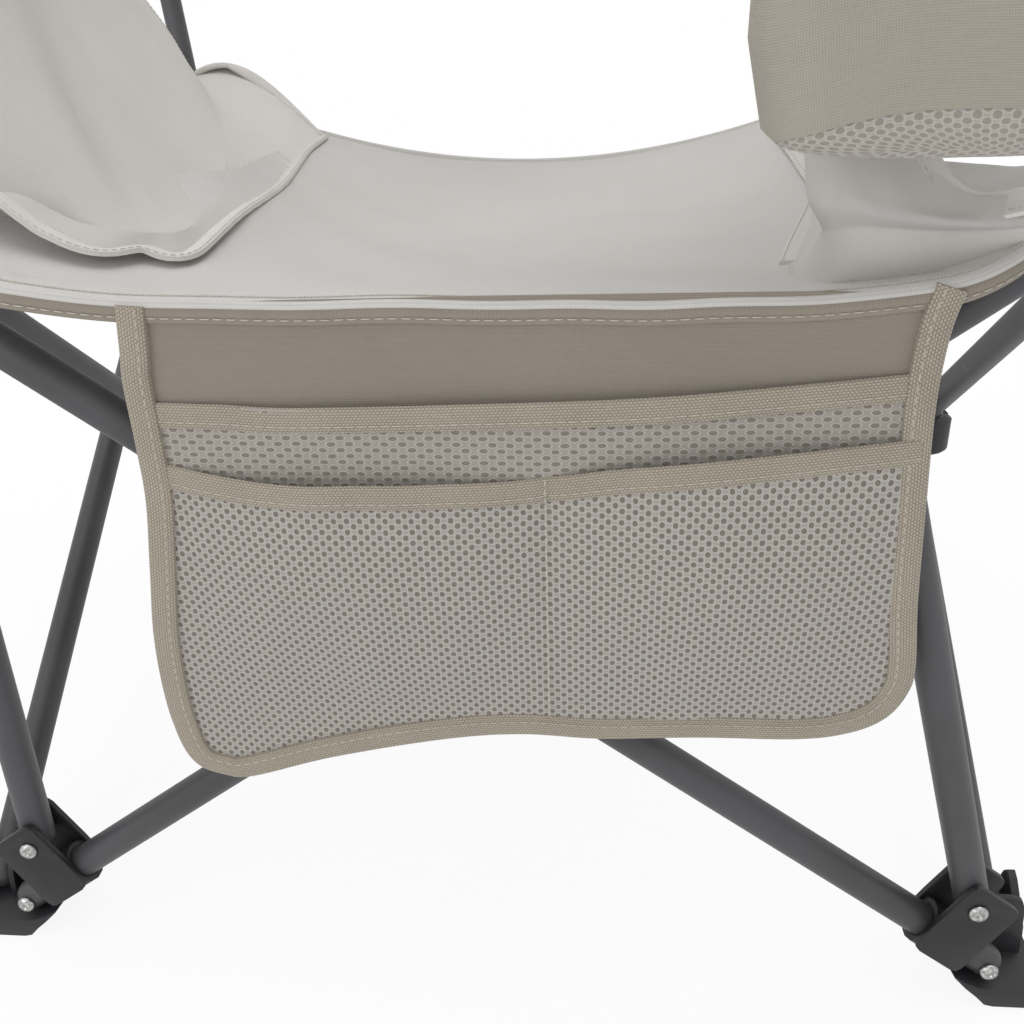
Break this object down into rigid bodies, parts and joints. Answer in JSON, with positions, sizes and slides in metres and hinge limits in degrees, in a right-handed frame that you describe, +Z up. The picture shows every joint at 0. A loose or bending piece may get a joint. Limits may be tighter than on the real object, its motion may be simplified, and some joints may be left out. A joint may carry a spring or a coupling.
{
  "type": "reclining camping chair",
  "caption": "Reclining quad-fold camping chair: grey steel scissor frame, black moulded feet, slung greige cloth seat, front flap with mesh pockets, cloth arms and strap-held back",
  "frame": {"origin": "on the floor, midway between the four pairs of foot pivots", "axes": "+X to the side that carries the pouch, +Y to the rear, +Z up; the sitter faces -Y"},
  "size_m": [0.7132, 0.6921, 0.9231],
  "materials": {
    "powder_coated_steel": "satin powder coat",
    "moulded_black": "satin moulded nylon",
    "zinc_rivet": "zinc plated, dimpled head",
    "greige_canvas": "plain woven polyester",
    "mesh": "knitted net",
    "webbing": "ribbed tape"
  },
  "bodies": {
    "foot_right": {"foot_front_right": "moulded_black", "foot_rivet_front_right": "zinc_rivet"},
    "front_tube_a": {"x_tube_front_a": "powder_coated_steel", "crossing_rivet_front": "zinc_rivet", "post_carrier_right": "moulded_black", "rivet_post_right": "zinc_rivet"},
    "front_tube_b": {"x_tube_front_b": "powder_coated_steel", "post_carrier_left": "moulded_black", "rivet_post_left": "zinc_rivet"},
    "foot_left": {"foot_front_left": "moulded_black", "foot_rivet_front_left": "zinc_rivet"},
    "bracket_left": {"seat_bracket_front_left": "moulded_black"},
    "bracket_right": {"seat_bracket_front_right": "moulded_black", "front_flap": "greige_canvas", "pocket_upper": "mesh", "pocket_lower": "mesh"},
    "right_arm": {"arm_post_right": "powder_coated_steel", "arm_post_cap_right": "moulded_black", "arm_pad_right": "greige_canvas", "seat_wing_right": "greige_canvas", "pouch_body": "greige_canvas", "pouch_net": "mesh"},
    "left_arm": {"arm_post_left": "powder_coated_steel", "arm_post_cap_left": "moulded_black", "arm_pad_left": "greige_canvas", "seat_wing_left": "greige_canvas"},
    "right_tube_a": {"x_tube_right_a": "powder_coated_steel", "crossing_rivet_right": "zinc_rivet"},
    "right_tube_b": {"x_tube_right_b": "powder_coated_steel", "side_hub_right": "moulded_black"},
    "rear_foot_right": {"foot_rear_right": "moulded_black", "foot_rivet_rear_right": "zinc_rivet"},
    "rear_bracket_right": {"seat_bracket_rear_right": "moulded_black", "upright_rivet_rear_right": "zinc_rivet", "recline_strap_right": "webbing", "adjuster_right": "moulded_black"},
    "upright_right": {"back_upright_right": "powder_coated_steel", "back_upright_cap_right": "moulded_black", "back_sling": "greige_canvas", "headrest": "greige_canvas"},
    "left_tube_a": {"x_tube_left_a": "powder_coated_steel", "side_hub_left": "moulded_black", "crossing_rivet_left": "zinc_rivet"},
    "left_tube_b": {"x_tube_left_b": "powder_coated_steel"},
    "rear_foot_left": {"foot_rear_left": "moulded_black", "foot_rivet_rear_left": "zinc_rivet"},
    "rear_bracket_left": {"seat_bracket_rear_left": "moulded_black", "upright_rivet_rear_left": "zinc_rivet", "recline_strap_left": "webbing", "adjuster_left": "moulded_black"},
    "upright_left": {"back_upright_left": "powder_coated_steel", "back_upright_cap_left": "moulded_black"},
    "rear_tube_a": {"x_tube_rear_a": "powder_coated_steel", "crossing_rivet_rear": "zinc_rivet"},
    "rear_tube_b": {"x_tube_rear_b": "powder_coated_steel"},
    "seat_leaf_front": {"seat_front": "greige_canvas"},
    "seat_leaf_rear": {"seat_rear": "greige_canvas"}
  },
  "joints": [
    {"name": "fold", "type": "hinge", "parent": "foot_right", "child": "front_tube_a", "pos_m": [0.241, -0.2725, 0.02], "axis": [0, 1, 0], "range_deg": [0, 40], "deforming": ["front_flap", "pocket_upper", "pocket_lower", "seat_wing_left", "seat_wing_right", "arm_pad_left", "arm_pad_right", "back_sling", "headrest", "seat_front", "seat_rear"]},
    {"name": "front_crossing", "type": "hinge", "parent": "front_tube_a", "child": "front_tube_b", "pos_m": [0, -0.264, 0.196], "axis": [0, -1, 0], "range_deg": [0, 80.01]},
    {"name": "front_left_foot_pivot", "type": "hinge", "parent": "front_tube_b", "child": "foot_left", "pos_m": [-0.241, -0.2555, 0.02], "axis": [0, 1, 0], "range_deg": [0, 40.01]},
    {"name": "front_left_bracket_pivot", "type": "hinge", "parent": "front_tube_a", "child": "bracket_left", "pos_m": [-0.241, -0.2725, 0.372], "axis": [0, -1, 0], "range_deg": [0, 40.01]},
    {"name": "front_right_bracket_pivot", "type": "hinge", "parent": "front_tube_b", "child": "bracket_right", "pos_m": [0.241, -0.2555, 0.372], "axis": [0, 1, 0], "range_deg": [0, 40.01]},
    {"name": "right_post_pivot", "type": "hinge", "parent": "front_tube_a", "child": "right_arm", "pos_m": [0.22896, -0.2725, 0.06049], "axis": [0, -1, 0], "range_deg": [0, 37.21]},
    {"name": "left_post_pivot", "type": "hinge", "parent": "front_tube_b", "child": "left_arm", "pos_m": [-0.22896, -0.2555, 0.06049], "axis": [0, 1, 0], "range_deg": [0, 43.21]},
    {"name": "right_side_fold", "type": "hinge", "parent": "foot_right", "child": "right_tube_a", "pos_m": [0.25, -0.241, 0.02], "axis": [1, 0, 0], "range_deg": [0, 40.01]},
    {"name": "right_crossing", "type": "hinge", "parent": "right_tube_a", "child": "right_tube_b", "pos_m": [0.25, 0, 0.196], "axis": [-1, 0, 0], "range_deg": [0, 80.01]},
    {"name": "rear_right_foot_pivot", "type": "hinge", "parent": "right_tube_b", "child": "rear_foot_right", "pos_m": [0.262, 0.241, 0.02], "axis": [1, 0, 0], "range_deg": [0, 40.01]},
    {"name": "rear_right_bracket_pivot", "type": "hinge", "parent": "right_tube_a", "child": "rear_bracket_right", "pos_m": [0.234, 0.241, 0.372], "axis": [-1, 0, 0], "range_deg": [0, 40.01]},
    {"name": "left_side_fold", "type": "hinge", "parent": "foot_left", "child": "left_tube_a", "pos_m": [-0.265, -0.241, 0.02], "axis": [1, 0, 0], "range_deg": [0, 40.01]},
    {"name": "left_crossing", "type": "hinge", "parent": "left_tube_a", "child": "left_tube_b", "pos_m": [-0.257, 0, 0.196], "axis": [-1, 0, 0], "range_deg": [0, 80.01]},
    {"name": "rear_left_foot_pivot", "type": "hinge", "parent": "left_tube_b", "child": "rear_foot_left", "pos_m": [-0.248, 0.241, 0.02], "axis": [1, 0, 0], "range_deg": [0, 40.01]},
    {"name": "rear_left_bracket_pivot", "type": "hinge", "parent": "left_tube_a", "child": "rear_bracket_left", "pos_m": [-0.267, 0.241, 0.372], "axis": [-1, 0, 0], "range_deg": [0, 40.01]},
    {"name": "rear_side_fold", "type": "hinge", "parent": "rear_foot_right", "child": "rear_tube_a", "pos_m": [0.241, 0.2555, 0.02], "axis": [0, 1, 0], "range_deg": [0, 40.01]},
    {"name": "rear_crossing", "type": "hinge", "parent": "rear_tube_a", "child": "rear_tube_b", "pos_m": [0, 0.264, 0.196], "axis": [0, -1, 0], "range_deg": [0, 80.01]},
    {"name": "seat_front_fold", "type": "hinge", "parent": "bracket_right", "child": "seat_leaf_front", "pos_m": [0, -0.262, 0.372], "axis": [-1, 0, 0], "range_deg": [0, 72.81]},
    {"name": "seat_rear_fold", "type": "hinge", "parent": "rear_bracket_right", "child": "seat_leaf_rear", "pos_m": [0, 0.241, 0.372], "axis": [1, 0, 0], "range_deg": [0, 72.81]},
    {"name": "recline", "type": "hinge", "parent": "rear_bracket_left", "child": "upright_left", "pos_m": [-0.279, 0.262, 0.355], "axis": [-1, 0, 0], "range_deg": [0, 35], "deforming": ["recline_strap_left", "recline_strap_right"]},
    {"name": "recline_right", "type": "hinge", "parent": "rear_bracket_right", "child": "upright_right", "pos_m": [0.279, 0.262, 0.355], "axis": [-1, 0, 0], "range_deg": [0, 35.01]}
  ],
  "couplings": [
    {"joint": "front_crossing", "follows": "fold", "ratio": 2},
    {"joint": "front_left_foot_pivot", "follows": "fold", "ratio": 1},
    {"joint": "front_left_bracket_pivot", "follows": "fold", "ratio": 1},
    {"joint": "front_right_bracket_pivot", "follows": "fold", "ratio": 1},
    {"joint": "right_post_pivot", "follows": "fold", "ratio": 0.93},
    {"joint": "left_post_pivot", "follows": "fold", "ratio": 1.08},
    {"joint": "right_side_fold", "follows": "fold", "ratio": 1},
    {"joint": "right_crossing", "follows": "fold", "ratio": 2},
    {"joint": "rear_right_foot_pivot", "follows": "fold", "ratio": 1},
    {"joint": "rear_right_bracket_pivot", "follows": "fold", "ratio": 1},
    {"joint": "left_side_fold", "follows": "fold", "ratio": 1},
    {"joint": "left_crossing", "follows": "fold", "ratio": 2},
    {"joint": "rear_left_foot_pivot", "follows": "fold", "ratio": 1},
    {"joint": "rear_left_bracket_pivot", "follows": "fold", "ratio": 1},
    {"joint": "rear_side_fold", "follows": "fold", "ratio": 1},
    {"joint": "rear_crossing", "follows": "fold", "ratio": 2},
    {"joint": "seat_front_fold", "follows": "fold", "ratio": 1.82},
    {"joint": "seat_rear_fold", "follows": "fold", "ratio": 1.82},
    {"joint": "recline_right", "follows": "recline", "ratio": 1}
  ]
}
